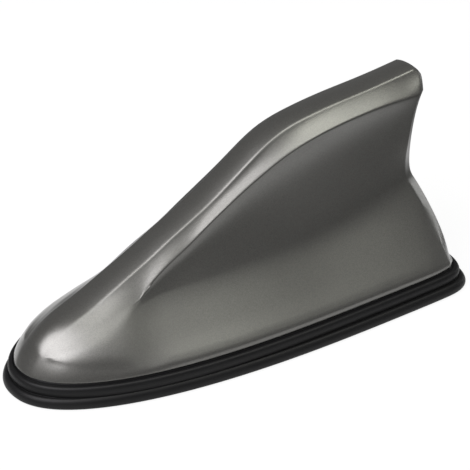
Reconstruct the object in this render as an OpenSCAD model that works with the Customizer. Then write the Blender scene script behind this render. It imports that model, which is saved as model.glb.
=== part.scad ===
// Roof aerial in the shape of a shark fin. Sizes are in millimetres.
// The nose points to -X and the tail to +X, the roof is the plane z = 0.
// The cover is a lofted skin that follows four styling lines on each flank.

/* [Outside] */
// Length of the rubber base from nose to tail
base_length = 168; // [164:1:174]
// Width of the rubber base at its widest place
base_width = 74.8; // [74:0.2:79]
// Height from the roof to the top of the fin
fin_height = 74; // [72:0.5:78]
// Height of the rubber base, where the cover stands on it
gasket_height = 8.4; // [8.2:0.1:9.2]
// Distance from the edge of the rubber base in to the cover
cover_inset = 3.8; // [3.6:0.1:4.2]
// Wall of the cover
wall = 2.2; // [1.8:0.1:2.4]
// Width of the top band at the nose
band_nose = 11; // [10.4:0.2:12]
// Width of the top band at the tip
band_tip = 9.4; // [8.8:0.2:10]
// Rise of the top band in its middle
band_crown = 0.7; // [0.4:0.1:1]
// Height of the upright edge strip of the cover along its sides
lip_height = 2.4; // [2:0.1:3]
// Extra height of that edge strip at the nose
lip_rise = 4; // [3.6:0.1:4.4]
// Lean of the edge strip towards the middle
lip_lean = 0.9; // [0.6:0.1:1.2]
// How far the hollow in the flank turns under the bevel, as a slope
scoop_turn = 0.22; // [0.1:0.01:0.3]

/* [Fixing] */
// Radius of the screw pillars inside the cover
pillar_r = 3.4; // [3.2:0.1:3.8]
// Radius of the pilot holes in the pillars
pilot_r = 1.25; // [1.1:0.05:1.4]
// Depth of the pilot holes
pilot_depth = 9; // [8:0.5:10]
// Top of the screw seats on the base plate
seat_top = 6.4; // [6.2:0.1:7]
// Radius of the holes for the cover screws
screw_hole_r = 1.6; // [1.5:0.05:1.8]
// Radius of the heads of the cover screws
screw_head_r = 2.8; // [2.6:0.1:3]

/* [Base plate] */
// Thickness of the foam pad under the base plate
pad_thick = 1.2; // [1:0.1:1.4]
// Thickness of the base plate
plate_thick = 2.4; // [2.2:0.1:2.8]
// Distance from the edge of the rubber base in to the base plate
plate_inset = 8.2; // [8.1:0.1:8.6]
// Top of the upright rim of the base plate
rim_top = 10.2; // [10:0.1:10.4]
// Radius of the cable outlet in the grommet
outlet_r = 2.6; // [2:0.1:3]
// Distance of the cable outlet in from the tail
outlet_in = 26; // [25:0.5:27]

/* [Circuit board] */
// Height of the underside of the circuit board
board_z = 9; // [8.6:0.1:9.2]
// Thickness of the circuit boards
board_thick = 1.6; // [1.4:0.1:1.6]
// Clear length between the circuit board and the collar of the outlet
board_gap = 5.8; // [5:0.2:6.6]
// Width of the circuit board
board_width = 34; // [33:1:35]
// Thickness of the upright element board
fin_thick = 1.2; // [1:0.1:1.4]
// Wire radius of the loading coil
wire_r = 0.5; // [0.4:0.05:0.6]
// Turns of the loading coil
coil_turns = 8; // [7:1:9]

/* [Hidden] */
tiny = 0.01;

// Styling lines: share of the base length from the nose, then share of the height or of half the width.
crest_rise = [[0.046, 0.212], [0.069, 0.253], [0.108, 0.298], [0.159, 0.341], [0.198, 0.381],
    [0.245, 0.432], [0.300, 0.491], [0.350, 0.552], [0.450, 0.667], [0.522, 0.770], [0.583, 0.859],
    [0.626, 0.901], [0.668, 0.926], [0.750, 0.949], [0.864, 0.966], [0.960, 0.987]];
bevel_line = [[0.046, 0.147, 0.208], [0.065, 0.198, 0.232], [0.100, 0.227, 0.264], [0.155, 0.254, 0.306],
    [0.210, 0.282, 0.340], [0.250, 0.298, 0.361], [0.266, 0.297, 0.371], [0.287, 0.279, 0.413],
    [0.331, 0.261, 0.474], [0.380, 0.252, 0.527], [0.433, 0.247, 0.601], [0.505, 0.247, 0.694],
    [0.545, 0.254, 0.743], [0.598, 0.266, 0.803], [0.639, 0.271, 0.836], [0.703, 0.270, 0.866],
    [0.770, 0.267, 0.883], [0.854, 0.265, 0.893], [0.945, 0.270, 0.890]];
flare_line = [[0.046, 0.147, 0.208], [0.065, 0.254, 0.215], [0.100, 0.334, 0.226], [0.155, 0.390, 0.248],
    [0.210, 0.378, 0.300], [0.251, 0.332, 0.339], [0.290, 0.317, 0.356], [0.325, 0.328, 0.364],
    [0.390, 0.364, 0.367], [0.471, 0.387, 0.375], [0.555, 0.396, 0.380], [0.671, 0.374, 0.382],
    [0.759, 0.348, 0.399], [0.846, 0.321, 0.430], [0.925, 0.289, 0.462]];
// Shares of the length between which the smooth nose turns into the hollow flank
scoop_share = [0.235, 0.285];
// Shares of the length between which the flank leaves the smooth curve of the nose for the flare line
smooth_share = [0.15, 0.24];
// Share of a smooth curve's tangent kept at the flare, less makes a tighter bend
bend_share = 0.35;
// Share of the length where the rubber base is widest
widest_share = 0.768;
// Fullness of the nose in plan, of the rubber base and of the cover, and of the tail
base_nose = [2.52, 2.23];
cover_nose = [2.9, 2.12];
tail_powers = [8, 6];
nose_lean = 3.2;
// Share of the length where each styling line meets the tail edge
tail_lip = 0.943;
tail_flare = 0.925;
tail_bevel = 0.949;
tail_crest = 0.960;
// Bow of the lower tail edge as a share of the length, and how far the tail edge bends forward at the very top
tail_bow = 0.006;
tip_round = 3.6;

// Number of steps of the loft
stations = 44;
across = 10;

function at_x(share) = (share - 0.5) * base_length;
function share_of(x) = x / base_length + 0.5;
function mix(a, b, w) = a * (1 - w) + b * w;
function unit(v) = v / norm(v);
function smooth(a, b, x) = let (t = max(0, min(1, (x - a) / (b - a)))) t * t * (3 - 2 * t);

// Smooth value of column c of a table at a place s, with straight ends
function cell(table, s, i = 0) = i >= len(table) - 2 || s < table[i + 1][0] ? i : cell(table, s, i + 1);
function grade(table, i, c) =
    let (a = max(i - 1, 0), b = min(i + 1, len(table) - 1))
    (table[b][c] - table[a][c]) / (table[b][0] - table[a][0]);
function hermite(a, b, da, db, t) =
    a * (1 - t) * (1 - t) * (1 + 2 * t) + b * t * t * (3 - 2 * t)
    + da * t * (1 - t) * (1 - t) - db * t * t * (1 - t);
function read(table, s, c) =
    let (i = cell(table, s), h = table[i + 1][0] - table[i][0], t = (s - table[i][0]) / h)
    hermite(table[i][c], table[i + 1][c], grade(table, i, c) * h, grade(table, i + 1, c) * h, t);

// Plan outline, moved in by d and at the nose by e more, with the fullness p of the nose
function mid_x() = at_x(widest_share);
function front_reach(d) = base_length / 2 + mid_x() - d;
function back_reach(d) = base_length / 2 - mid_x() - d;
function half_reach(d) = base_width / 2 - d;
function plan_half(x, d, e = 0, p = cover_nose) =
    x < mid_x()
    ? half_reach(d) * pow(max(0, 1 - pow(min(1, (mid_x() - x) / front_reach(d + e)), p[0])), 1 / p[1])
    : half_reach(d)
        * pow(max(0, 1 - pow(min(1, (x - mid_x()) / back_reach(d)), tail_powers[0])), 1 / tail_powers[1]);
function nose_x(y, d, e = 0, p = cover_nose) =
    mid_x() - front_reach(d + e) * pow(1 - pow(min(1, abs(y) / half_reach(d)), p[1]), 1 / p[0]);
function tail_x(y, d) =
    mid_x() + back_reach(d) * pow(1 - pow(min(1, abs(y) / half_reach(d)), tail_powers[1]), 1 / tail_powers[0]);

// Edge strip of the cover
function lip_inset(t) = cover_inset + lip_lean + t;
function lip_top(x, t) =
    let (s = max(0, x - nose_x(0, lip_inset(0), nose_lean)))
    gasket_height + lip_height + lip_rise * exp(-pow(s / 16, 1.4)) - 0.6 * t;
function band_half(x) = mix(band_nose, band_tip, smooth(-0.1, 1.1, share_of(x))) / 2;

// First point of the flank, where the top band, the flank and the edge strip meet
function start_y(t) = band_nose / 2 - 0.6 * t;
function start_x(t) = nose_x(start_y(t), lip_inset(t), nose_lean);
function start_z(t) = lip_top(start_x(t), t);
function pull(x, t) = pow(max(0, 1 - (x - start_x(t)) / 16), 2);

// Height and half width of a styling line at x, brought on to the first point at the nose
function crest_at(x, t) =
    let (z0 = start_z(t), y0 = start_y(t), w = pull(x, t))
    let (z = fin_height * read(crest_rise, share_of(x), 1) - 1.15 * t, y = band_half(x) - 0.6 * t)
    let (xs = start_x(t), zs = fin_height * read(crest_rise, share_of(xs), 1) - 1.15 * t)
    [y + (y0 - band_half(xs) + 0.6 * t) * w, z + (z0 - zs) * w];
function line_at(table, x, t, dy, dz) =
    let (w = pull(x, t), xs = start_x(t))
    let (y = base_width / 2 * read(table, share_of(x), 1) - dy * t)
    let (z = fin_height * read(table, share_of(x), 2) - dz * t)
    let (ys = base_width / 2 * read(table, share_of(xs), 1) - dy * t)
    let (zs = fin_height * read(table, share_of(xs), 2) - dz * t)
    [y + (start_y(t) - ys) * w, z + (start_z(t) - zs) * w];

// Place of the tail edge along the flank.
// v is 0 at the edge strip, 1 at the flare, 2 at the bevel and 3 at the crest.
function tail_edge(v, t) =
    (v < 1 ? mix(at_x(tail_lip), at_x(tail_flare), v) + 4 * tail_bow * base_length * v * (1 - v)
    : v < 2 ? hermite(at_x(tail_flare), at_x(tail_bevel), -0.04 * base_length, 0.045 * base_length, v - 1)
    : mix(at_x(tail_bevel), at_x(tail_crest) + tip_round, v - 2) - tip_round * pow(v - 2, 6)) - 0.6 * t;
function run(u) = u * (0.6 + 0.4 * u);
function flank_x(u, v, t) = mix(start_x(t), tail_edge(v, t), run(u));

// Half width and height on the smooth curve of the nose from the edge strip l to the bevel b, below the crest c
function nose_end(l, b, c) = unit(c - mix(l, b, 0.6) + [0, tiny]);
function nose_yz(l, b, c, v) =
    let (chord = b - l)
    hermite(l, b, chord + 0.4 * [chord[1], -chord[0]], norm(chord) * nose_end(l, b, c), v);

// Half width and height on the flank
function flank_yz(u, v, t) =
    let (xl = flank_x(u, 0, t), xf = flank_x(u, 1, t), xb = flank_x(u, 2, t), xc = flank_x(u, 3, t))
    let (l = [plan_half(xl, lip_inset(t), nose_lean), lip_top(xl, t)])
    let (f = line_at(flare_line, xf, t, 0.72, 0.72), b = line_at(bevel_line, xb, t, 1, 0.35))
    let (c = crest_at(xc, t))
    let (w = smooth(scoop_share[0], scoop_share[1], share_of(xb)))
    let (lf = unit(f - l + [0, tiny]), fb = unit(b - f + [0, tiny]), bc = unit(c - b + [0, tiny]))
    let (df = unit(lf + fb) * mix(1, bend_share, w))
    let (dbl = unit(mix(nose_end(l, b, c), unit([scoop_turn, 1]), w)))
    let (dbr = unit(mix(nose_end(l, b, c), bc, w)))
    let (k = smooth(smooth_share[0], smooth_share[1], share_of(xb)))
    v <= 1 ? mix(nose_yz(l, b, c, v / 2), hermite(l, f, lf * norm(f - l), df * norm(f - l), v), k)
    : v <= 2 ? mix(nose_yz(l, b, c, v / 2), hermite(f, b, df * norm(b - f), dbl * norm(b - f), v - 1), k)
    : hermite(b, c, dbr * norm(c - b), bc * norm(c - b), v - 2);
function flank(u, v, t) = let (q = flank_yz(u, v, t)) [flank_x(u, v, t), -q[0], q[1]];

// Strip along the tail edge: its width along x and its step towards the middle
function strip_wide(v, t) =
    (v < 1 ? mix(3.2, 4, smooth(0, 0.4, v)) : v < 2 ? hermite(4, 3.3, -0.2, -1.2, v - 1)
    : mix(3.3, 0, pow(v - 2, 1.5)))
    - (v < 2.5 ? 0.4 * t : 0);
function strip_step(v, y) = v < 2 ? 2.3 : mix(2.3, 0.2 * y, v - 2);

// One point of the tail face: v as on the flank, j counts from the near edge to the far edge
function side_share(j) = let (k = min(j, across - j)) k == 0 ? 1 : (across / 2 - k) / (across / 2 - 1);
function tail_point(v, j, t) =
    let (e = flank(1, v, t), k = min(j, across - j), sign = j < across / 2 ? -1 : 1)
    let (li = lip_inset(t), x2 = strip_end(t), h2 = plan_half(x2, li))
    let (y = k == 0 ? -e[1] : (-e[1] - strip_step(v, -e[1])) * side_share(k))
    let (bow = tail_x(h2 * side_share(k), li) - x2, round = 0.9 * (1 - pow(side_share(k), 2)) * smooth(3, 2.2, v))
    let (x = k == 0 ? e[0] : e[0] + strip_wide(v, t) + mix(round, bow, smooth(1.2, 0, v)))
    let (z = e[2] + (k == 0 ? 0 : band_crown * (1 - pow(y / e[1], 2)) * smooth(2, 3, v)))
    [x, sign * y, z];

// One point of the top band
function band_point(u, j, t) =
    let (e = flank(u, 3, t), y = -e[1] * (2 * j / across - 1))
    [e[0], y, e[2] + mix(2 * band_crown + 0.6, band_crown, smooth(0, 0.15, u)) * (1 - pow(y / e[1], 2))];

// Closed line round the edge strip, w is 0 at the foot and 1 at its top: near side, tail, far side, nose
function strip_end(t) = min(tail_edge(0, t) + 3.2, tail_x(0, lip_inset(t)) - 1);
function strip_tail(j, d, t) =
    let (k = min(j, across - j), sign = j < across / 2 ? -1 : 1)
    let (y = plan_half(strip_end(t), d) * side_share(k)) [tail_x(y, d), sign * y];
function strip_point(k, w, t) =
    let (n = stations, e = nose_lean * w, d = cover_inset + lip_lean * w + t - 0.8 * w * (1 - w))
    let (u = k <= n ? k / n : (2 * n + across - k) / n)
    let (x = mix(nose_x(start_y(t), d, e), tail_edge(0, t), run(u)))
    let (y = start_y(t) * (1 - 2 * (k - 2 * n - across) / across))
    let (flat = k <= n ? [x, -plan_half(x, d, e)]
        : k < n + across ? strip_tail(k - n, d, t)
        : k <= 2 * n + across ? [x, plan_half(x, d, e)] : [nose_x(y, d, e), y])
    [flat[0], flat[1], mix(gasket_height, lip_top(flat[0], t), w)];

// Numbering of the points of one skin.
// g holds the rows of the flank, the rows of the strip and the first number.
loop = 2 * stations + 2 * across;
function strip_no(g, r, k) = g[2] + r * loop + k % loop;
function flank_no(g, i, j, far = false) =
    i == 0 ? strip_no(g, g[1], far ? 2 * stations + across : 0)
    : j == 0 ? strip_no(g, g[1], far ? 2 * stations + across - i : i)
    : g[2] + (g[1] + 1) * loop + (far ? stations * g[0] : 0) + (i - 1) * g[0] + j - 1;
function band_no(g, i, j) =
    j == 0 ? flank_no(g, i, g[0]) : j == across ? flank_no(g, i, g[0], true)
    : g[2] + (g[1] + 1) * loop + 2 * stations * g[0] + i * (across - 1) + j - 1;
function tail_no(g, r, j) =
    r == 0 ? strip_no(g, g[1], stations + j) : r == g[0] ? band_no(g, stations, j)
    : j == 0 ? flank_no(g, stations, r) : j == across ? flank_no(g, stations, r, true)
    : g[2] + (g[1] + 1) * loop + 2 * stations * g[0] + (stations + r) * (across - 1) + j - 1;

// rows lists how many steps lie between two styling lines, from the edge strip up
function row_value(rows, j) =
    j <= rows[0] ? j / rows[0]
    : j <= rows[0] + rows[1] ? 1 + (j - rows[0]) / rows[1]
    : 3 - pow(1 - (j - rows[0] - rows[1]) / rows[2], 1.4);
function rows_of(rows) = rows[0] + rows[1] + rows[2];
function skin_points(rows, strips, t) = [
    for (r = [0:strips]) for (k = [0:loop - 1]) strip_point(k, r / strips, t),
    for (side = [1, -1]) for (i = [1:stations]) for (j = [1:rows_of(rows)])
        let (q = flank(i / stations, row_value(rows, j), t)) [q[0], side * q[1], q[2]],
    for (i = [0:stations]) for (j = [1:across - 1]) band_point(i / stations, j, t),
    for (r = [1:rows_of(rows) - 1]) for (j = [1:across - 1]) tail_point(row_value(rows, r), j, t)];
function quad(a, b, c, d) =
    [if (a != b && b != c && c != a) [a, b, c], if (a != c && c != d && d != a) [a, c, d]];
function skin_faces(g) = [
    for (r = [0:g[1] - 1]) for (k = [0:loop - 1])
        each quad(strip_no(g, r, k), strip_no(g, r + 1, k), strip_no(g, r + 1, k + 1), strip_no(g, r, k + 1)),
    for (i = [0:stations - 1]) for (j = [0:g[0] - 1])
        each quad(flank_no(g, i, j), flank_no(g, i, j + 1), flank_no(g, i + 1, j + 1), flank_no(g, i + 1, j)),
    for (i = [0:stations - 1]) for (j = [0:g[0] - 1])
        each quad(flank_no(g, i, j, true), flank_no(g, i + 1, j, true),
            flank_no(g, i + 1, j + 1, true), flank_no(g, i, j + 1, true)),
    for (i = [0:stations - 1]) for (j = [0:across - 1])
        each quad(band_no(g, i, j), band_no(g, i, j + 1), band_no(g, i + 1, j + 1), band_no(g, i + 1, j)),
    for (r = [0:g[0] - 1]) for (j = [0:across - 1])
        each quad(tail_no(g, r, j), tail_no(g, r + 1, j), tail_no(g, r + 1, j + 1), tail_no(g, r, j + 1)),
    for (j = [0:across - 1])
        each quad(strip_no(g, g[1], 2 * stations + across + j), band_no(g, 0, across - j),
            band_no(g, 0, across - j - 1), strip_no(g, g[1], 2 * stations + across + j + 1))];

outer_rows = [5, 8, 4];
inner_rows = [3, 4, 2];
module cover_skin() {
    outer = skin_points(outer_rows, 3, 0);
    inner = skin_points(inner_rows, 1, wall);
    g = [rows_of(outer_rows), 3, 0];
    h = [rows_of(inner_rows), 1, len(outer)];
    rim = [for (k = [0:loop - 1])
        each quad(strip_no(g, 0, k), strip_no(g, 0, k + 1), strip_no(h, 0, k + 1), strip_no(h, 0, k))];
    polyhedron(concat(outer, inner),
        concat(skin_faces(g), [for (f = skin_faces(h)) [f[2], f[1], f[0]]], rim), convexity = 8);
}

// Screw pillars: x, y and the height of the top inside the cover
outlet_x = base_length / 2 - outlet_in;
pillar_front = at_x(3 / 14);
function pillars() = [for (q = [[pillar_front, 0.2246, 0.3081], [outlet_x, 0.5882, 0.2324]]) for (side = [-1, 1])
    [q[0], side * q[1] * base_width / 2, q[2] * fin_height]];

module cover_shell() {
    color("#5b5a55")
    union() {
        cover_skin();
        for (q = pillars())
            translate([q[0], q[1], seat_top])
                difference() {
                    cylinder(r = pillar_r, h = q[2] - seat_top, $fn = 48);
                    translate([0, 0, -1])
                        cylinder(r = pilot_r, h = pilot_depth + 1, $fn = 32);
                }
    }
}

// Closed outline of the base, moved in by d, as points in plan
front_steps = 22;
back_steps = 10;
outline_count = 2 * (front_steps + back_steps);
function outline_point(i, d, p = cover_nose) =
    let (k = min(i, outline_count - i), side = i <= outline_count / 2 ? -1 : 1)
    let (a = 90 * k / front_steps, b = 90 * (front_steps + back_steps - k) / back_steps)
    k <= front_steps
    ? [mid_x() - front_reach(d) * pow(cos(a), 2 / p[0]), side * half_reach(d) * pow(sin(a), 2 / p[1])]
    : [mid_x() + back_reach(d) * pow(cos(b), 2 / tail_powers[0]),
        side * half_reach(d) * pow(sin(b), 2 / tail_powers[1])];
module outline(d) {
    polygon([for (i = [0:outline_count - 1]) outline_point(i, d)]);
}
module outline_ring(d, width, z, h) {
    translate([0, 0, z])
        linear_extrude(height = h)
            difference() {
                outline(d);
                outline(d + width);
            }
}

// Section of the rubber base: distance in from the edge, height, and 1 where it follows the cover
bead_top = gasket_height - 0.7;
gasket_section = [[1.1, 0, 0], [0.3, 0.4, 0], [0, 1.3, 0], [0.1, 2.5, 0], [0.7, 3.5, 0], [1.5, 4, 0],
    [2.3, 3.8, 1], [2, 4.8, 1], [1.8, 5.8, 1], [2, 6.9, 1], [2.6, bead_top, 1], [cover_inset - 0.2, bead_top, 1],
    [cover_inset, bead_top - 0.4, 1], [cover_inset + 0.4, gasket_height, 1], [plate_inset, gasket_height, 1],
    [plate_inset, 0, 1]];
module base_gasket() {
    n = len(gasket_section);
    points = [for (i = [0:outline_count - 1]) for (q = gasket_section)
        let (e = outline_point(i, q[0], q[2] == 1 ? cover_nose : base_nose)) [e[0], e[1], q[1]]];
    color("#232323")
    polyhedron(points, [for (i = [0:outline_count - 1]) for (j = [0:n - 1])
        let (i2 = (i + 1) % outline_count, j2 = (j + 1) % n)
        each quad(i * n + j, i * n + j2, i2 * n + j2, i2 * n + j)], convexity = 6);
}

// Base plate with its rim, board posts, screw seats and outlet collar
plate_top = pad_thick + plate_thick;
collar_r = 6.2;
grommet_r = 4.6;
post_r = 3;
board_top = board_z + board_thick;
function board_front() = pillar_front + pillar_r + 1.6;
board_length = outlet_x - collar_r - board_gap - board_front();
// Place on the board from shares of its length and width
function on_board(along, over) = [board_front() + along * board_length, over * board_width];
function board_posts() = [for (x = [board_front() + 9, board_front() + board_length - 5]) for (side = [-1, 1])
    [x, side * (board_width / 2 - 4)]];
module pegs(places, r, z, h, faces = 32) {
    for (q = places)
        translate([q[0], q[1], z])
            cylinder(r = r, h = h, $fn = faces);
}
module base_plate() {
    color("#1f1f20")
    difference() {
        union() {
            translate([0, 0, pad_thick])
                linear_extrude(height = plate_thick)
                    outline(plate_inset);
            outline_ring(plate_inset, 1.6, plate_top - 1, rim_top - plate_top + 1);
            pegs(pillars(), 5, plate_top - 1, seat_top - plate_top + 1, 48);
            pegs(board_posts(), post_r, plate_top - 1, board_z - plate_top + 1);
            pegs([[outlet_x, 0]], collar_r, plate_top - 1, 5, 48);
            for (side = [-1, 1])
                translate([board_front() - 6, side * 6 - 0.7, plate_top - 1])
                    cube([board_length - 3, 1.4, 3.2]);
            for (along = [0.381, 0.5357, 0.6905])
                translate([at_x(along), -0.321 * base_width, plate_top - 1])
                    cube([1.4, 0.642 * base_width, 3.2]);
        }
        pegs(pillars(), screw_hole_r, 0, seat_top + 1);
        pegs(pillars(), screw_head_r + 0.4, 0, pad_thick + 2.2, 48);
        pegs(board_posts(), 1, plate_top + 0.6, board_z);
        pegs([[outlet_x, 0]], grommet_r, 0, 20, 48);
    }
}

module seal_strip() {
    color("#3a3a3c")
    outline_ring(plate_inset - 1, 1, gasket_height, 0.7);
}

module adhesive_pad() {
    color("#4a4d50")
    linear_extrude(height = pad_thick)
        difference() {
            outline(plate_inset + 1.2);
            translate([outlet_x, 0])
                circle(r = collar_r + 1, $fn = 48);
        }
}

module cable_grommet() {
    color("#2b2b2b")
    translate([outlet_x, 0, 0])
        rotate_extrude($fn = 64)
            polygon([[outlet_r, 0.2], [collar_r - 0.2, 0.2], [collar_r, 0.5], [collar_r, pad_thick],
                [grommet_r, pad_thick], [grommet_r, plate_top + 4], [collar_r - 0.6, plate_top + 4],
                [collar_r - 0.8, plate_top + 5], [outlet_r, plate_top + 5.6]]);
}

// Screws: the thread is drawn at the size of its pilot hole
module cover_screws() {
    seat = pad_thick + 2.2;
    color("#b9bcc0")
    for (q = pillars())
        translate([q[0], q[1], 0])
            difference() {
                union() {
                    translate([0, 0, seat - 1.9])
                        cylinder(r = screw_head_r, h = 1.9, $fn = 48);
                    translate([0, 0, seat - 0.1])
                        cylinder(r = pilot_r, h = seat_top + pilot_depth - 1 - seat, $fn = 32);
                    translate([0, 0, seat_top + pilot_depth - 1.2])
                        cylinder(r1 = pilot_r, r2 = 0.4, h = 1, $fn = 32);
                }
                for (turn = [0, 90])
                    rotate(turn)
                        translate([-1.6, -0.35, seat - 2.4])
                            cube([3.2, 0.7, 1.6]);
            }
}

// Main circuit board
module main_board() {
    x0 = board_front();
    x1 = x0 + board_length;
    y = board_width / 2;
    color("#1f5a35")
    difference() {
        translate([0, 0, board_z])
            linear_extrude(height = board_thick)
                polygon([[x0, -y + 6], [x0 + 6, -y], [x1, -y], [x1, y], [x0 + 6, y], [x0, y - 6]]);
        pegs(board_posts(), 1.25, board_z - 1, board_thick + 2);
    }
}

module board_screws() {
    color("#c4c6c9")
    for (q = board_posts())
        translate([q[0], q[1], board_top])
            difference() {
                union() {
                    cylinder(r1 = 2.2, r2 = 1.9, h = 1.5, $fn = 32);
                    translate([0, 0, -5.2])
                        cylinder(r = 1, h = 5.4, $fn = 32);
                }
                for (turn = [0, 90])
                    rotate(turn)
                        translate([-1.3, -0.25, 0.7])
                            cube([2.6, 0.5, 1]);
            }
}

// Upright board in the fin, drawn as points of x and height from shares of the length and the height
function in_fin(along, up) = [at_x(along), up * fin_height];
fin_front = at_x(0.5119);
top_left = in_fin(0.6667, 0.8541);
top_right = in_fin(0.9048, 0.8946);
function on_edge(along, drop) =
    let (x = at_x(along), slope = (top_right[1] - top_left[1]) / (top_right[0] - top_left[0]))
    [x, top_left[1] + slope * (x - top_left[0]) - drop];
function fin_outline() = [[fin_front, board_top], [at_x(0.7619), board_top], in_fin(0.7738, 0.2027),
    in_fin(0.8929, 0.3243), in_fin(0.9167, 0.5676), in_fin(0.9167, 0.8966), top_right, top_left,
    in_fin(0.6429, 0.8432), in_fin(0.5774, 0.7365), in_fin(0.5119, 0.6149)];
module upright(thick, y = 0) {
    translate([0, y + thick / 2, 0])
        rotate([90, 0, 0])
            linear_extrude(height = thick)
                children();
}
module fin_board() {
    color("#27663d")
    difference() {
        upright(fin_thick)
            polygon(fin_outline());
        for (q = [in_fin(0.5595, 0.5946), in_fin(0.881, 0.4054)])
            translate([q[0], 0, q[1]])
                rotate([90, 0, 0])
                    cylinder(r = 1.1, h = 10, center = true, $fn = 32);
    }
}

// Printed element on the near face: level bars joined at alternate ends, as shares of the length
trace_thick = 0.12;
bar_wide = 1.4;
bar_ends = [[0.5357, 0.75], [0.5357, 0.7738], [0.5357, 0.8214], [0.5357, 0.8571], [0.5357, 0.869],
    [0.5357, 0.881], [0.5357, 0.8929], [0.5833, 0.8929], [0.5833, 0.8929], [0.6071, 0.8929], [0.6429, 0.8929]];
function bar_z(i) = (0.2297 + 0.05405 * i) * fin_height;
function bar_low(i) = at_x(bar_ends[i][0]);
function bar_high(i) = at_x(bar_ends[i][1]);
module element_trace() {
    last = len(bar_ends) - 1;
    color("#b87333")
    upright(trace_thick, -fin_thick / 2 - trace_thick / 2)
        union() {
            for (i = [0:last])
                translate([bar_low(i), bar_z(i)])
                    square([bar_high(i) - bar_low(i), bar_wide]);
            for (i = [0:last - 1])
                let (right = min(bar_high(i), bar_high(i + 1)) - bar_wide, left = max(bar_low(i), bar_low(i + 1)))
                let (x = i % 2 == 0 ? right : left)
                translate([x, bar_z(i)])
                    square([bar_wide, bar_z(i + 1) - bar_z(i) + bar_wide]);
            translate([bar_high(last) - bar_wide, bar_z(last)])
                square([bar_wide, on_edge(0.8845, load_deep)[1] - 0.2 - bar_z(last)]);
            translate([bar_low(0), board_top + 1.8])
                square([bar_wide, bar_z(0) + bar_wide - board_top - 1.8]);
        }
}

// Folded strip over the top edge of the upright board
load_deep = 5;
load_thick = 0.4;
module top_load() {
    color("#c9a44c")
    difference() {
        upright(fin_thick + 2 * load_thick)
            polygon([on_edge(0.6845, load_deep), on_edge(0.8929, load_deep),
                on_edge(0.8929, -load_thick), on_edge(0.6845, -load_thick)]);
        upright(fin_thick)
            polygon([on_edge(0.6667, load_deep + 1), on_edge(0.9107, load_deep + 1),
                on_edge(0.9107, 0), on_edge(0.6667, 0)]);
    }
}

// Loading coil on its former
coil_x = on_board(0.3708, 0)[0];
former_r = 3.2;
former_top = 0.4865 * fin_height;
coil_low = board_top + 2.4;
coil_high = former_top - 2.2;
module coil_former() {
    color("#d9d4c4")
    translate([coil_x, 0, 0])
        rotate_extrude($fn = 64)
            polygon([[1.4, board_top], [6, board_top], [6, board_top + 1.4], [former_r, board_top + 1.4],
                [former_r, former_top - 1.2], [5, former_top - 1.2], [5, former_top], [1.4, former_top]]);
}
module loading_coil() {
    around_turn = 14;
    n = coil_turns * around_turn;
    m = 6;
    r = former_r + wire_r;
    function place(i) = let (a = 360 * i / around_turn) [r * cos(a), r * sin(a), mix(coil_low, coil_high, i / n)];
    points = [for (i = [0:n]) let (a = 360 * i / around_turn, q = place(i)) for (j = [0:m - 1])
        let (b = 360 * j / m) q + wire_r * [cos(b) * cos(a), cos(b) * sin(a), sin(b)]];
    color("#b87333")
    translate([coil_x, 0, 0])
        polyhedron(points, concat(
            [for (i = [0:n - 1]) for (j = [0:m - 1]) let (k = (j + 1) % m)
                each quad(i * m + j, i * m + k, (i + 1) * m + k, (i + 1) * m + j)],
            [[for (j = [m - 1:-1:0]) j], [for (j = [0:m - 1]) n * m + j]]), convexity = 10);
}
module coil_pins() {
    color("#c8c9cc")
    for (side = [-1, 1])
        translate([coil_x, side * 4.6, board_top + 1.2])
            cylinder(r = 0.4, h = 1.6, $fn = 24);
}
module feed_clip() {
    z = former_top;
    color("#cdaa55")
    union() {
        translate([coil_x - 3, -2.2, z])
            cube([fin_front - coil_x + 3, 4.4, 0.5]);
        for (side = [-1, 1])
            translate([fin_front - 2, side > 0 ? fin_thick / 2 : -fin_thick / 2 - 0.5, z])
                cube([6, 0.5, 5]);
    }
}

// Screened amplifier
can_x = on_board(0.0337, 0)[0];
module rounded(l, w, r) {
    translate([r, 0])
        square([l - 2 * r, w]);
    translate([0, r])
        square([l, w - 2 * r]);
    for (x = [r, l - r])
        for (y = [r, w - r])
            translate([x, y])
                circle(r = r, $fn = 32);
}
module shield_can() {
    l = 0.2022 * board_length;
    w = 0.5 * board_width;
    h = 5;
    color("#b4b8bb")
    translate([can_x, -w / 2, board_top])
        difference() {
            linear_extrude(height = h)
                rounded(l, w, 1);
            translate([0.4, 0.4, -1])
                linear_extrude(height = h + 0.6)
                    rounded(l - 0.8, w - 0.8, 0.6);
            for (x = [l / 2 - 4, l / 2, l / 2 + 4])
                for (y = [5, w - 5])
                    translate([x, y, h - 1])
                        cylinder(r = 0.7, h = 2, $fn = 24);
        }
}

chip = on_board(0.6404, 0.3088);
module amp_chip() {
    color("#1c1c1e")
    translate([chip[0] - 3, chip[1] - 2, board_top + 0.2])
        cube([6, 4, 1.5]);
}
module chip_legs() {
    color("#c8c9cc")
    for (k = [0:3])
        for (side = [-1, 1])
            translate([chip[0] - 2.1 + k * 1.4 - 0.2, chip[1] + side * 2, board_top])
                scale([1, side, 1]) {
                    translate([0, 0.5, 0])
                        cube([0.4, 0.7, 0.2]);
                    translate([0, 0.4, 0])
                        cube([0.4, 0.2, 1]);
                    cube([0.4, 0.6, 1]);
                }
}

choke = on_board(0.6854, -0.2941);
module choke_core() {
    color("#3b3d40")
    translate([choke[0], choke[1], board_top])
        rotate_extrude($fn = 48)
            polygon([[0, 0], [4.4, 0], [4.4, 1.2], [2, 1.2], [2, 4.8], [4.4, 4.8], [4.4, 6], [0, 6]]);
}
module choke_winding() {
    color("#a8602c")
    translate([choke[0], choke[1], board_top])
        rotate_extrude($fn = 48)
            polygon([[2, 1.2], [3.6, 1.2], [3.9, 1.8], [3.9, 4.2], [3.6, 4.8], [2, 4.8]]);
}

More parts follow.
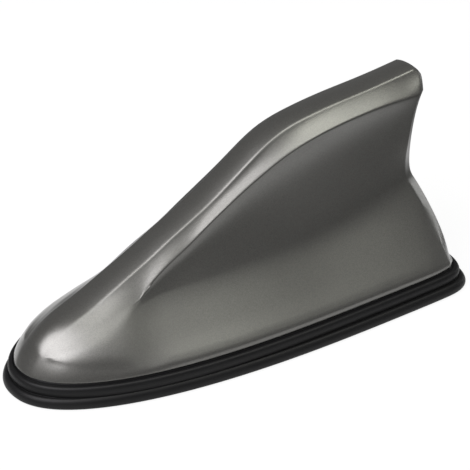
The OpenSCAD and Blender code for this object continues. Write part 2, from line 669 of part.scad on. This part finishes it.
capacitor = on_board(0.7978, 0.2794);
module smoothing_capacitor() {
    color("#c9ccd0")
    translate([capacitor[0], capacitor[1], board_top])
        union() {
            translate([-3.4, -3.4, 0])
                cube([6.8, 6.8, 1]);
            rotate_extrude($fn = 48)
                polygon([[0, 0.5], [3.2, 0.5], [3.2, 2.2], [3, 2.5], [3.2, 2.8], [3.2, 7.2], [2.9, 7.5], [0, 7.5]]);
        }
}

// Small parts at places given as shares of the board's length and width
module chips(places, size) {
    for (q = places)
        translate([on_board(q[0], q[1])[0], on_board(q[0], q[1])[1], board_top])
            cube(size);
}
module ceramic_capacitors() {
    color("#b49a6a")
    chips([[0.4607, -0.3529], [0.5056, -0.3529], [0.5506, -0.3529], [0.2584, 0.3235],
        [0.3034, 0.3235], [0.5393, 0.1765], [0.5393, 0.3529], [0.7079, 0.1324]], [2, 1.2, 0.9]);
}
module chip_resistors() {
    color("#26282a")
    chips([[0.2584, -0.2941], [0.2921, -0.2941], [0.3258, -0.2941], [0.4607, -0.2353],
        [0.5056, -0.2353], [0.4382, 0.3235], [0.4719, 0.3235], [0.7079, 0.4118]], [1.6, 0.8, 0.5]);
}

header = [board_front() + board_length - 16, -0.3941 * board_width];
module header_housing() {
    color("#e6e2d6")
    translate([header[0], header[1], board_top])
        difference() {
            cube([8, 5.4, 6]);
            translate([0.8, 0.8, 1.4])
                cube([6.4, 3.8, 6]);
            translate([2.8, -1, 3])
                cube([2.4, 3, 6]);
        }
}
module header_pins() {
    color("#d6b45a")
    for (k = [0:2])
        translate([header[0] + 2 + 2 * k - 0.3, header[1] + 2.7 - 0.3, board_top + 1.1])
            cube([0.6, 0.6, 4]);
}

cover_shell();
base_gasket();
base_plate();
seal_strip();
adhesive_pad();
cable_grommet();
cover_screws();
main_board();
board_screws();
fin_board();
element_trace();
top_load();
coil_former();
loading_coil();
coil_pins();
feed_clip();
shield_can();
amp_chip();
chip_legs();
choke_core();
choke_winding();
smoothing_capacitor();
ceramic_capacitors();
chip_resistors();
header_housing();
header_pins();
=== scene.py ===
# %% [markdown]
# Roof aerial in the shape of a shark fin
#
# The aerial sits on the roof of a car. A painted cover with the shape of a fin stands on a rubber base,
# and under it lie a base plate, two circuit boards and the parts that tune the element. The packed
# model holds all the solids in their real places. This script only adds what the eye needs: a camera,
# light, finishes, and copies of two solids with rounded edges.

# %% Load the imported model
import math

import bmesh
import bpy
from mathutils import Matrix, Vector
from mathutils.kdtree import KDTree


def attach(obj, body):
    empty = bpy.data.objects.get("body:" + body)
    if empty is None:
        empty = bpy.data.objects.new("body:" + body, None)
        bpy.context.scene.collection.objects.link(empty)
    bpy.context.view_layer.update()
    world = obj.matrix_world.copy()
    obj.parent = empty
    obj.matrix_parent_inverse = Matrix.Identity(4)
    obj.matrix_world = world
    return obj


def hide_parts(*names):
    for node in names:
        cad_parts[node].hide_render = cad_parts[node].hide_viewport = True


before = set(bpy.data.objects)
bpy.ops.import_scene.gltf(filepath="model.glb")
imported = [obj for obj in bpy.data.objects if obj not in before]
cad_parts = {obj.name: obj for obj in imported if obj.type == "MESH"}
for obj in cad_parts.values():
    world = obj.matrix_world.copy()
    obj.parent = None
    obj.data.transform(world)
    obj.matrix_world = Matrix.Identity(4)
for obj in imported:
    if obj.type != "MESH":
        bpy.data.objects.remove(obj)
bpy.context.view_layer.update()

scene = bpy.context.scene
print("solids in the frame:", len(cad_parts))

# %% [markdown]
# The camera stands in front of the nose, to the left and above, as in the photograph. Its distance
# matters as much as its angle: a near camera makes the nose large and the tail small. Five lengths of
# the object away gave the right perspective, and a long lens then fills the picture.

# %% Camera
MM = 0.001
photo_pixels = 470
pixels_per_radian = 2456.5
camera_azimuth, camera_elevation = -35.4, 32.7
camera_distance = 840 * MM
aim = Vector((12.3, 9.4, 23.1)) * MM


def toward(azimuth, elevation, distance):
    """A place at that distance. Azimuth 0 is the near side, -90 the nose and 90 the tail, in degrees."""
    turn, rise = math.radians(azimuth), math.radians(elevation)
    direction = (math.sin(turn) * math.cos(rise), -math.cos(turn) * math.cos(rise), math.sin(rise))
    return distance * Vector(direction)


def place_and_aim(thing, location):
    """Puts a camera or a lamp there, turned to the aerial."""
    thing.location = location
    thing.rotation_euler = (aim - thing.location).to_track_quat("-Z", "Y").to_euler()
    scene.collection.objects.link(thing)


camera_data = bpy.data.cameras.new("photo_camera")
camera_data.sensor_width = 36
camera_data.lens = camera_data.sensor_width * pixels_per_radian / photo_pixels
camera_data.clip_start = 10 * MM
camera = bpy.data.objects.new("photo_camera", camera_data)
place_and_aim(camera, toward(camera_azimuth, camera_elevation, camera_distance))
scene.camera = camera
print("lens in mm:", round(camera_data.lens, 1))

# %% [markdown]
# The studio is a white floor, a pale world and soft lamps. Lacquer mirrors the face of a lamp, so the
# power of each lamp is worked out from the brightness that its face should show. Every face of the
# cover mirrors its own part of the room, and each lamp stands where one of them looks: the nose, the
# bevel, the flank, the top line, the rear bevel and the tail. The hollow flank looks at no lamp, so it
# stays dark, as in the photograph.

# %% Lamps and world
lamp_distance = 1
watts_per_square_metre = 4  # gives the face of a lamp the level 1
room_level = 0.2
# Each lamp: azimuth and elevation in degrees, width and height in metres, level and colour.
lamps = {
    "key_lamp": (-80, 50, 0.80, 0.70, 5.4, (0.99, 0.97, 1)),
    "bevel_lamp": (-24, 54, 0.80, 0.45, 0.5, (0.99, 0.98, 1)),
    "flank_lamp": (14, 42, 0.40, 0.30, 0.3, (0.98, 1, 0.90)),
    "top_lamp": (10, 82, 0.50, 0.50, 3.0, (1, 1, 0.96)),
    "tip_lamp": (56, 62, 0.50, 0.24, 4.0, (0.99, 1, 0.91)),
    "tail_lamp": (90, 10, 0.30, 0.20, 2.2, (1, 1, 1)),
}


def softbox(name, azimuth, elevation, width, height, level, colour):
    """A rectangular lamp that looks at the aerial. level is the brightness of its face."""
    data = bpy.data.lights.new(name, "AREA")
    data.shape = "RECTANGLE"
    data.color = colour
    data.size, data.size_y = width, height
    data.energy = watts_per_square_metre * width * height * level
    place_and_aim(bpy.data.objects.new(name, data), toward(azimuth, elevation, lamp_distance))
    print(name, "power in watts:", round(data.energy, 2))


for name, values in lamps.items():
    softbox(name, *values)

world = bpy.data.worlds.new("pale_room")
world.use_nodes = True
background = world.node_tree.nodes["Background"].inputs
background["Color"].default_value = (1, 1, 1, 1)
background["Strength"].default_value = room_level
scene.world = world
scene.view_settings.view_transform = "Standard"

# %% [markdown]
# The photograph has a plain white background. The floor keeps a faint shadow, so that the aerial
# stands on something, and the camera sees the rest of it as plain white from every side. Lacquer
# mirrors the floor too, but the hollow flank in the photograph shows that the real room was dark
# further out. So a ray that comes off a shiny surface finds white only in a block near the aerial,
# turned with the camera and with soft sides, and a dark tone beyond it.

# %% Helpers for nodes
def nodes_of(owner):
    """The node list of a material or a group, and a short way to link two of its sockets."""
    tree = owner if isinstance(owner, bpy.types.NodeTree) else owner.node_tree
    return tree.nodes, lambda a, b: tree.links.new(a, b)


def calculate(nodes, link, operation, first, second=0):
    """A math node on a socket and on a second socket or a number."""
    node = nodes.new("ShaderNodeMath")
    node.operation = operation
    link(first, node.inputs[0])
    if isinstance(second, (int, float)):
        node.inputs[1].default_value = second
    else:
        link(second, node.inputs[1])
    return node.outputs[0]

# %% [markdown]
# The white block could be a second plane on the floor, but its hard rim would show in the shine of the
# cover. A mask in the floor's own material has soft sides. It is measured from the middle of the block
# along two turned axes: the distance past each side counts, and the larger of the two is taken.

# %% White block
white_middle = (4 * MM, -3 * MM, 0)
white_reach = (98 * MM, 85 * MM)


def beyond_block(nodes, link):
    """How far a place on the floor lies outside the white block, in metres."""
    turned = nodes.new("ShaderNodeMapping")
    turned.vector_type = "TEXTURE"
    turned.inputs["Location"].default_value = white_middle
    turned.inputs["Rotation"].default_value = (0, 0, math.radians(camera_azimuth))
    apart = nodes.new("ShaderNodeSeparateXYZ")
    link(nodes.new("ShaderNodeTexCoord").outputs["Object"], turned.inputs["Vector"])
    link(turned.outputs["Vector"], apart.inputs["Vector"])
    outside = []
    for axis, reach in zip(("X", "Y"), white_reach):
        from_middle = calculate(nodes, link, "ABSOLUTE", apart.outputs[axis])
        outside.append(calculate(nodes, link, "SUBTRACT", from_middle, reach))
    return calculate(nodes, link, "MAXIMUM", *outside)


print("white block in mm:", [round(2 * reach / MM) for reach in white_reach])

# %% [markdown]
# To the lamps the floor is light grey paper, so it takes the shadow of the aerial. Over that lies a glow
# that only the camera and shiny surfaces see. A brighter lamp could make the background white too, but it
# would wash out the cover, and this glow lights nothing.

# %% Floor material
floor_grey, floor_roughness = 0.9, 0.9
glow_share = 0.9
white_fade = 40 * MM
far_tone = 0.04


def white_floor():
    """A grey floor under a glow. The camera sees the glow as white, and shiny surfaces see the block."""
    material = bpy.data.materials.new("white_floor")
    material.use_nodes = True
    nodes, link = nodes_of(material)
    shader = nodes["Principled BSDF"]
    shader.inputs["Base Color"].default_value = (floor_grey, floor_grey, floor_grey, 1)
    shader.inputs["Roughness"].default_value = floor_roughness

    block = nodes.new("ShaderNodeMapRange")
    block.interpolation_type = "SMOOTHSTEP"
    block.inputs["From Max"].default_value = white_fade
    block.inputs["To Min"].default_value = 1
    block.inputs["To Max"].default_value = far_tone
    link(beyond_block(nodes, link), block.inputs["Value"])
    path = nodes.new("ShaderNodeLightPath").outputs
    glow = nodes.new("ShaderNodeEmission")
    glow.inputs["Strength"].default_value = 1
    tone_seen = calculate(nodes, link, "MAXIMUM", path["Is Camera Ray"], block.outputs["Result"])
    link(tone_seen, glow.inputs["Color"])

    seen = calculate(nodes, link, "MAXIMUM", path["Is Camera Ray"], path["Is Glossy Ray"])
    seen = calculate(nodes, link, "MAXIMUM", seen, path["Is Transmission Ray"])
    mix = nodes.new("ShaderNodeMixShader")
    link(calculate(nodes, link, "MULTIPLY", seen, glow_share), mix.inputs["Fac"])
    link(shader.outputs["BSDF"], mix.inputs[1])
    link(glow.outputs["Emission"], mix.inputs[2])
    link(mix.outputs["Shader"], nodes["Material Output"].inputs["Surface"])
    return material

# %% [markdown]
# The floor itself is a wide flat disc, so that its rim never comes into the picture. It lies a tenth
# of a millimetre under the aerial, because two faces at one height would flicker through each other.

# %% Floor
floor_radius, floor_sides = 4, 96
floor_drop = 0.1 * MM


def object_from(name, bm, material):
    """Makes an object from a bmesh, at the origin, with its material."""
    mesh = bpy.data.meshes.new(name)
    bm.to_mesh(mesh)
    bm.free()
    piece = bpy.data.objects.new(name, mesh)
    mesh.materials.append(material)
    scene.collection.objects.link(piece)
    return piece


bm = bmesh.new()
bmesh.ops.create_circle(bm, cap_ends=True, radius=floor_radius, segments=floor_sides)
bmesh.ops.translate(bm, verts=bm.verts, vec=(0, 0, -floor_drop))
floor = object_from("floor", bm, white_floor())
print("floor radius in metres:", floor_radius)

# %% [markdown]
# Three effects are wanted on more than one finish, so each is a node group, built once: flakes for
# metallic paint, a pebbled grain for moulded plastic and rubber, and streaks for sheet metal and wire.
# A group gives out only values from 0 to 1, and each finish uses them its own way. Every pattern is
# laid out by the place on the object, so that it stays on the surface when the object moves.

# %% Helpers for node groups
def new_group(name, outputs):
    """A node group with the input Scale, in repeats per metre, and the named outputs."""
    group = bpy.data.node_groups.new(name, "ShaderNodeTree")
    group.interface.new_socket("Scale", in_out="INPUT", socket_type="NodeSocketFloat")
    for label in outputs:
        group.interface.new_socket(label, in_out="OUTPUT", socket_type="NodeSocketFloat")
    nodes, link = nodes_of(group)
    return group, nodes, link, nodes.new("NodeGroupInput"), nodes.new("NodeGroupOutput")


def object_place(nodes):
    """The place on the object, in metres."""
    return nodes.new("ShaderNodeTexCoord").outputs["Object"]


def noise(nodes, detail):
    """A noise texture with that many layers of finer detail."""
    node = nodes.new("ShaderNodeTexNoise")
    node.inputs["Detail"].default_value = detail
    return node

# %% [markdown]
# Metallic paint holds flakes of metal that lie at many angles, so each is a small spot with its own
# brightness. A picture of flakes would need a map of the surface. A pattern of cells needs none: it
# gives every cell a random colour, and one channel of that is enough.

# %% Flakes
def make_flakes():
    group, nodes, link, given, out = new_group("paint_flakes", ["Sparkle"])
    cells = nodes.new("ShaderNodeTexVoronoi")
    cells.feature = "F1"
    grey = nodes.new("ShaderNodeSeparateColor")
    link(object_place(nodes), cells.inputs["Vector"])
    link(given.outputs["Scale"], cells.inputs["Scale"])
    link(cells.outputs["Color"], grey.inputs["Color"])
    link(grey.outputs["Red"], out.inputs["Sparkle"])
    return group


flakes = make_flakes()
print("node group:", flakes.name)

# %% [markdown]
# The steel of a mould is etched or blasted, and plastic and rubber take over its fine pebbled face. Real
# displacement would need millions of faces, so the fine noise is only a height for a bump. A second,
# slow noise gives the patches of tone and gloss that a moulding has.

# %% Moulded grain
swell_scale = 90


def make_grain():
    group, nodes, link, given, out = new_group("moulded_grain", ["Height", "Patches"])
    fine, coarse = noise(nodes, detail=3), noise(nodes, detail=4)
    coarse.inputs["Scale"].default_value = swell_scale
    place = object_place(nodes)
    link(place, fine.inputs["Vector"])
    link(place, coarse.inputs["Vector"])
    link(given.outputs["Scale"], fine.inputs["Scale"])
    link(fine.outputs["Fac"], out.inputs["Height"])
    link(coarse.outputs["Fac"], out.inputs["Patches"])
    return group


grain = make_grain()
print("node group:", grain.name, "- length of a patch in mm:", round(1 / swell_scale / MM))

# %% [markdown]
# Sheet metal and wire keep fine lines along the way they were rolled or drawn. Lines could be drawn with
# a wave pattern, but that is too regular. Noise makes them too, once its space is stretched along X.

# %% Rolled streaks
streak_stretch = 0.04


def make_streaks():
    group, nodes, link, given, out = new_group("rolled_streaks", ["Streaks"])
    stretched = nodes.new("ShaderNodeMapping")
    stretched.inputs["Scale"].default_value = (streak_stretch, 1, 1)
    lines = noise(nodes, detail=2)
    link(object_place(nodes), stretched.inputs["Vector"])
    link(stretched.outputs["Vector"], lines.inputs["Vector"])
    link(given.outputs["Scale"], lines.inputs["Scale"])
    link(lines.outputs["Fac"], out.inputs["Streaks"])
    return group


streaks = make_streaks()
print("node group:", streaks.name, "- length of a streak over its width:", round(1 / streak_stretch))

# %% [markdown]
# Every finish starts from the same few steps: a shader with its even values typed into it, a group
# for what changes over the surface, and ranges that turn the group's 0 to 1 into a colour or a
# roughness. So small helpers do that part, and each finish reads as a short recipe.

# %% Helpers for finishes
def new_finish(name, **even):
    """A material whose shader has the given even values."""
    material = bpy.data.materials.new(name)
    material.use_nodes = True
    nodes, link = nodes_of(material)
    shader = nodes["Principled BSDF"]
    for label, value in even.items():
        shader.inputs[label.replace("_", " ")].default_value = value
    return material, nodes, link, shader


def use_group(nodes, group, scale):
    """The outputs of a group, at that scale."""
    node = nodes.new("ShaderNodeGroup")
    node.node_tree = group
    node.inputs["Scale"].default_value = scale
    return node.outputs


def tone(nodes, link, source, dark, light, target):
    """A colour between dark and light, steered by a value from 0 to 1."""
    mix = nodes.new("ShaderNodeMix")
    mix.data_type = "RGBA"
    mix.inputs["A"].default_value = (*dark, 1)
    mix.inputs["B"].default_value = (*light, 1)
    link(source, mix.inputs["Factor"])
    link(mix.outputs["Result"], target)


def spread(nodes, link, source, low, high, target):
    """Stretches a value from 0 to 1 over low to high."""
    node = nodes.new("ShaderNodeMapRange")
    node.inputs["To Min"].default_value = low
    node.inputs["To Max"].default_value = high
    link(source, node.inputs["Value"])
    link(node.outputs["Result"], target)


def relief(nodes, link, source, depth, strength, shader):
    """Turns a height into a bump of that depth in metres."""
    bump = nodes.new("ShaderNodeBump")
    bump.inputs["Distance"].default_value = depth
    bump.inputs["Strength"].default_value = strength
    link(source, bump.inputs["Height"])
    link(bump.outputs["Normal"], shader.inputs["Normal"])


def shade(colour, factor):
    """A colour made darker or lighter by that factor."""
    return tuple(min(1, c * factor) for c in colour)

# %% [markdown]
# The cover has a taupe grey metallic paint under a clear lacquer. A plain grey metal would give the
# colour, but not the two layers: the lacquer mirrors the lamps, and the paint below scatters them. So
# the lacquer is the shader's coat, a little soft, because the photo shows wide and blurred highlights.
# The flakes are finer than the photo can show, and only glitter a little when they are seen near.

# %% Cover paint
paint_metal, lacquer_roughness = 0.8, 0.28
flake_scale, skin_scale = 5200.0, 900.0
flake_dark, flake_light = (0.090, 0.089, 0.082), (0.130, 0.129, 0.120)
paint_roughness = (0.33, 0.41)
skin_depth, skin_strength = 0.02 * MM, 0.12


def metallic_paint():
    material, nodes, link, shader = new_finish("cover_paint", Metallic=paint_metal, Coat_Weight=1.0,
                                               Coat_Roughness=lacquer_roughness)
    sparkle = use_group(nodes, flakes, flake_scale)["Sparkle"]
    skin = use_group(nodes, grain, skin_scale)
    tone(nodes, link, sparkle, flake_dark, flake_light, shader.inputs["Base Color"])
    spread(nodes, link, skin["Patches"], *paint_roughness, shader.inputs["Roughness"])
    relief(nodes, link, skin["Height"], skin_depth, skin_strength, shader)
    return material


paint = metallic_paint()
print("cover paint: roughness", paint_roughness, "under a lacquer of", lacquer_roughness)

# %% [markdown]
# All the other pieces are either moulded, such as plastic, rubber, foam and board, or rolled and drawn,
# such as sheet metal and wire. Each kind is one function. Its tone and its gloss wander a little around
# the values of the piece, because no real surface is perfectly even.
#
# The rubber base is nearly black and has a satin face from its mould, with little of a mirror in it.

# %% Moulded and rolled finishes
moulded_tones, moulded_gloss = (0.8, 1.2), (-0.06, 0.06)
rolled_tones, rolled_gloss = (0.82, 1.12), (-0.08, 0.1)
moulded_depth, rolled_depth = 0.03 * MM, 0.01 * MM
rolled_strength = 0.4


def moulded(name, colour, rough, scale, strength=0.5, **even):
    """Moulded plastic, rubber or foam: an even colour with patches, and a pebbled surface."""
    material, nodes, link, shader = new_finish(name, **even)
    skin = use_group(nodes, grain, scale)
    dark, light = (shade(colour, factor) for factor in moulded_tones)
    smooth, dull = (rough + change for change in moulded_gloss)
    tone(nodes, link, skin["Patches"], dark, light, shader.inputs["Base Color"])
    spread(nodes, link, skin["Patches"], smooth, dull, shader.inputs["Roughness"])
    relief(nodes, link, skin["Height"], moulded_depth, strength, shader)
    return material


def rolled(name, colour, rough, scale):
    """Sheet metal and wire: streaks from rolling change its tone and its gloss."""
    material, nodes, link, shader = new_finish(name, Metallic=1.0)
    lines = use_group(nodes, streaks, scale)["Streaks"]
    dark, light = (shade(colour, factor) for factor in rolled_tones)
    smooth, dull = (rough + change for change in rolled_gloss)
    tone(nodes, link, lines, dark, light, shader.inputs["Base Color"])
    spread(nodes, link, lines, smooth, dull, shader.inputs["Roughness"])
    relief(nodes, link, lines, rolled_depth, rolled_strength, shader)
    return material


gasket_rubber = moulded("gasket_rubber", (0.0045, 0.0045, 0.0048), 0.46, 1800.0, strength=0.35,
                        Specular_IOR_Level=0.2)
print("tones of a moulding:", moulded_tones, "tones of sheet metal and wire:", rolled_tones)

# %% [markdown]
# The solids under the cover and below the base keep their own shapes. The cover hides them, so one grey
# would do for the photograph, but the model may also be shown opened. So each gets the finish of the
# real piece, from one table: the kind of finish, its colour, its roughness and the scale of its grain.

# %% Finishes of the solids
recipes = {
    "base_plate": (moulded, (0.020, 0.020, 0.021), 0.55, 2200.0),
    "seal_strip": (moulded, (0.045, 0.045, 0.048), 0.85, 1500.0),
    "adhesive_pad": (moulded, (0.075, 0.078, 0.083), 0.9, 1200.0),
    "cable_grommet": (moulded, (0.022, 0.022, 0.022), 0.6, 2000.0),
    "cover_screws": (rolled, (0.60, 0.61, 0.62), 0.32, 2500.0),
    "main_board": (moulded, (0.020, 0.140, 0.060), 0.35, 700.0),
    "board_screws": (rolled, (0.60, 0.61, 0.62), 0.30, 2500.0),
    "fin_board": (moulded, (0.028, 0.170, 0.078), 0.35, 700.0),
    "element_trace": (rolled, (0.72, 0.40, 0.20), 0.35, 2000.0),
    "top_load": (rolled, (0.75, 0.58, 0.28), 0.30, 1600.0),
    "coil_former": (moulded, (0.70, 0.67, 0.57), 0.5, 2400.0),
    "loading_coil": (rolled, (0.70, 0.35, 0.16), 0.25, 2600.0),
    "coil_pins": (rolled, (0.68, 0.69, 0.70), 0.3, 2600.0),
    "feed_clip": (rolled, (0.76, 0.60, 0.30), 0.28, 1800.0),
    "shield_can": (rolled, (0.60, 0.62, 0.63), 0.34, 1400.0),
    "amp_chip": (moulded, (0.024, 0.024, 0.026), 0.5, 4000.0),
    "chip_legs": (rolled, (0.68, 0.69, 0.71), 0.3, 3000.0),
    "choke_core": (moulded, (0.060, 0.060, 0.064), 0.7, 3000.0),
    "choke_winding": (rolled, (0.62, 0.28, 0.11), 0.3, 4000.0),
    "smoothing_capacitor": (rolled, (0.70, 0.71, 0.73), 0.25, 2000.0),
    "ceramic_capacitors": (moulded, (0.46, 0.34, 0.21), 0.45, 4000.0),
    "chip_resistors": (moulded, (0.032, 0.032, 0.036), 0.45, 4000.0),
    "header_housing": (moulded, (0.76, 0.73, 0.64), 0.5, 2400.0),
    "header_pins": (rolled, (0.78, 0.60, 0.27), 0.25, 2600.0),
}
for node, (kind, *values) in recipes.items():
    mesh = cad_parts[node].data
    mesh.materials.clear()
    mesh.materials.append(kind(node + "_finish", *values))
print("finished solids:", len(recipes))

# %% [markdown]
# The cover is the one large form that everybody sees. Its solid already follows the styling lines, but
# it is made of flat facets with knife edges, and a moulding has small radii that catch the light. So a
# copy is made whose triangles are joined into one skin, and the folds that are real edges are found
# by their angle.

# %% Copies for rounding
weld_distance, collapse_distance = 0.002 * MM, 0.001 * MM
join_angle, join_shape_angle = math.radians(40), math.radians(180)


def merged_copy(node):
    """A bmesh of a solid, with the loose triangles joined into one skin of larger faces."""
    bm = bmesh.new()
    bm.from_mesh(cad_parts[node].data)
    bmesh.ops.remove_doubles(bm, verts=bm.verts, dist=weld_distance)
    bmesh.ops.dissolve_degenerate(bm, edges=bm.edges, dist=collapse_distance)
    bmesh.ops.join_triangles(bm, faces=bm.faces, angle_face_threshold=join_angle,
                             angle_shape_threshold=join_shape_angle)
    return bm


def creases(bm, degrees):
    """The edges where the skin folds by more than that angle."""
    limit = math.radians(degrees)
    return [e for e in bm.edges if len(e.link_faces) == 2 and e.calc_face_angle(0) > limit]

# %% [markdown]
# Behind the bend, the photograph shows the bevel brighter than the solid's own bevel comes out. More
# light would brighten the flank below it too, which is right as it is. So the bevel of the real part
# probably faces up a little more, and the copy's skin is moved along the bevel's lower edge, by about a
# millimetre. The move fades out over the skin around it, and no new fold appears.

# %% Rear bevel
bevel_edge_move, bevel_edge_reach = 1.1 * MM, 3.6 * MM
bevel_edge_out, bevel_edge_up = 0.75, 0.66
bend_start, bend_end = 2 * MM, 30 * MM
bevel_edge_above, bevel_edge_beside = 45 * MM, 7.6 * MM


def ease(low, high, value):
    """0 below low, 1 above high, and a soft slope between them."""
    share = min(1, max(0, (value - low) / (high - low)))
    return share * share * (3 - 2 * share)


def turn_up_bevel(bm, folds):
    """Moves the lower edge of the rear bevel up and out, so that the bevel faces up more."""
    edge = {v for e in folds for v in e.verts
            if v.co.x > bend_start and v.co.z > bevel_edge_above and abs(v.co.y) > bevel_edge_beside}
    tree = KDTree(len(edge))
    for i, vert in enumerate(edge):
        tree.insert(vert.co, i)
    tree.balance()
    for vert in bm.verts:
        away = tree.find(vert.co)[2]
        fade = math.exp(-(away / bevel_edge_reach) ** 2)
        move = bevel_edge_move * ease(bend_start, bend_end, vert.co.x) * fade
        vert.co += move * Vector((0, math.copysign(bevel_edge_out, vert.co.y), bevel_edge_up))
    print("points on the lower edge of the bevel:", len(edge))

# %% [markdown]
# Along the foot of the cover runs an edge strip, a few millimetres tall, that is also brighter in the
# photograph. A strip that leans in mirrors the dark room, and one that stands upright mirrors the white
# floor. So the top of the strip is moved out, and its foot stays on the rubber.

# %% Edge strip
strip_foot, strip_tall = 8.4 * MM, 2.4 * MM
strip_move = 0.6 * MM
rise_low, rise_high = 0.1, 1.1
outward_start, outward_full = 0.5, 0.8
nose_start, nose_end = -52 * MM, -36 * MM


def straighten_strip(bm):
    """Moves the top of the edge strip out. At the nose the strip keeps its shape."""
    bm.normal_update()
    moved = 0
    for vert in bm.verts:
        rise = (vert.co.z - strip_foot) / strip_tall
        faces_out = vert.normal.y * math.copysign(1, vert.co.y)
        if rise_low < rise < rise_high and faces_out > outward_start:
            share = ease(outward_start, outward_full, faces_out) * ease(nose_start, nose_end, vert.co.x)
            vert.co.y += math.copysign(strip_move * rise * rise * share, vert.co.y)
            moved += 1
    print("points on the edge strip:", moved)

# %% [markdown]
# A moulded edge has a radius of about half a millimetre. Subdivision alone would round the folds far too
# much, and a crease weight is no radius that can be set in millimetres. A bevel with three steps gives
# every fold its radius, and one step of subdivision then smooths the skin between them.

# %% Cover
cover_fold = 22
edge_radius, edge_steps, round_profile = 0.5 * MM, 3, 0.5


def smooth_object(name, bm, material, levels):
    """An object with smooth shading and that many levels of subdivision."""
    for face in bm.faces:
        face.smooth = True
    piece = object_from(name, bm, material)
    soft = piece.modifiers.new("soft_form", "SUBSURF")
    soft.levels = soft.render_levels = levels
    return piece


def make_cover():
    bm = merged_copy("cover_shell")
    folds = creases(bm, cover_fold)
    print("folds on the cover:", len(folds), "faces:", len(bm.faces))
    turn_up_bevel(bm, folds)
    straighten_strip(bm)
    bmesh.ops.bevel(bm, geom=folds, offset=edge_radius, offset_type="OFFSET", affect="EDGES",
                    segments=edge_steps, profile=round_profile, material=-1, clamp_overlap=False)
    cover = smooth_object("cover", bm, paint, 1)
    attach(cover, "root")
    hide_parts("cover_shell")


make_cover()

# %% [markdown]
# The rubber base is one soft moulding with a bead round the cover and a flange on the roof. Its section
# is round nearly all the way, so a bevel on every fold would only pile up on its neighbours. Two steps
# of subdivision round the whole section, and a crease weight holds the folds that stay firm, such as
# the one on the roof.

# %% Rubber base
gasket_fold, firm_edge = 62, 0.8


def make_gasket():
    bm = merged_copy("base_gasket")
    weight = bm.edges.layers.float.new("crease_edge")
    firm = creases(bm, gasket_fold)
    for edge in firm:
        edge[weight] = firm_edge
    print("firm edges on the rubber base:", len(firm), "faces:", len(bm.faces))
    gasket = smooth_object("rubber_base", bm, gasket_rubber, 2)
    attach(gasket, "root")
    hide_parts("base_gasket")


make_gasket()

# %% [markdown]
# The size of the model stays that of the solids.

# %% Final update
bpy.context.view_layer.update()
